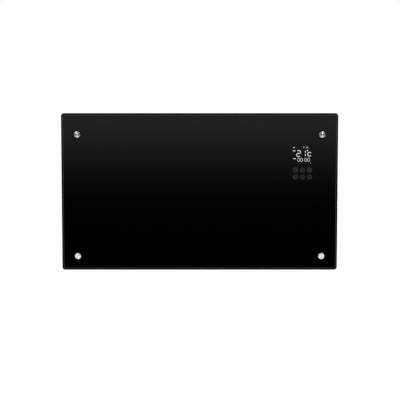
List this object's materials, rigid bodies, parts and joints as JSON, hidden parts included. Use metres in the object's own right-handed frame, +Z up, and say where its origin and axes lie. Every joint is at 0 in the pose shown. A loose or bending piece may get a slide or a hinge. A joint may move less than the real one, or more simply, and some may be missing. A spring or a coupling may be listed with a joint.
{
  "type": "glass convector heater",
  "caption": "Wall-hung convector heater: wide black glass front on round metal caps, slim steel casing with outlet grille, touch display, wall bracket with hooks.",
  "frame": {"origin": "middle of the four wall screw holes of the bracket, on the wall plane", "axes": "+X right as seen from the room, +Y into the wall, +Z up; the glass faces -Y"},
  "size_m": [0.8, 0.0946, 0.455],
  "materials": {
    "black_glass": "polished, with a black print on its back",
    "black_paint": "fine powder coat, satin",
    "cap_steel": "turned, with fine rings",
    "zinc_steel": "zinc plated",
    "fin_aluminium": "as extruded",
    "silicone": "soft silicone",
    "ceramic": "unglazed",
    "black_abs": "moulded, fine grain",
    "circuit_board": "solder resist",
    "yellow_tape": "film tape over windings",
    "white_nylon": "moulded",
    "brass": "plain",
    "grey_ribbon": "flexible",
    "brown_lead": "flexible insulation",
    "pale_lead": "glass-fibre sleeve"
  },
  "bodies": {
    "bracket": {"wall_bracket": "black_paint"},
    "heater": {"rear_shell": "black_paint", "shell_screws": "zinc_steel", "outlet_grille": "black_paint", "grille_screws": "zinc_steel", "wall_bumpers": "silicone", "foot_nuts": "zinc_steel", "front_tray": "black_paint", "tray_nuts": "zinc_steel", "glass_panel": "black_glass", "glass_pads": "silicone", "glass_screws": "zinc_steel", "cap_washers": "silicone", "glass_caps": "cap_steel", "heating_element": "fin_aluminium", "element_sheath": "zinc_steel", "terminal_insulators": "ceramic", "terminal_studs": "zinc_steel", "element_bushes": "silicone", "element_bracket_left": "zinc_steel", "element_bracket_right": "zinc_steel", "heat_shield": "zinc_steel", "cutout_bracket": "zinc_steel", "thermal_cutout": "ceramic", "thermal_fuse": "fin_aluminium", "fuse_clip": "zinc_steel", "back_screws": "zinc_steel", "control_box": "black_abs", "box_lid": "black_abs", "power_board": "circuit_board", "relays": "black_abs", "transformer": "yellow_tape", "capacitors": "black_abs", "terminal_block": "white_nylon", "board_screws": "zinc_steel", "display_holder": "black_abs", "display_board": "circuit_board", "digit_module": "black_abs", "touch_springs": "brass", "display_gasket": "silicone", "display_screws": "zinc_steel", "ribbon_cable": "grey_ribbon", "room_sensor": "black_abs", "sensor_clip": "white_nylon", "switch_housing": "black_abs", "switch_tabs": "zinc_steel", "cable_gland": "black_abs", "gland_nut": "black_abs", "earth_stud": "brass", "switch_leads": "brown_lead", "element_leads": "pale_lead", "sensor_lead": "black_abs"},
    "rocker": {"switch_rocker": "black_abs"}
  },
  "joints": [
    {"name": "lift_off", "type": "slide", "parent": "bracket", "child": "heater", "axis": [0, 0, 1], "range_m": [0, 0.013]},
    {"name": "power_rocker", "type": "hinge", "parent": "heater", "child": "rocker", "pos_m": [0.36956, -0.051, -0.205], "axis": [0, 1, 0], "range_deg": [0, 22]}
  ]
}
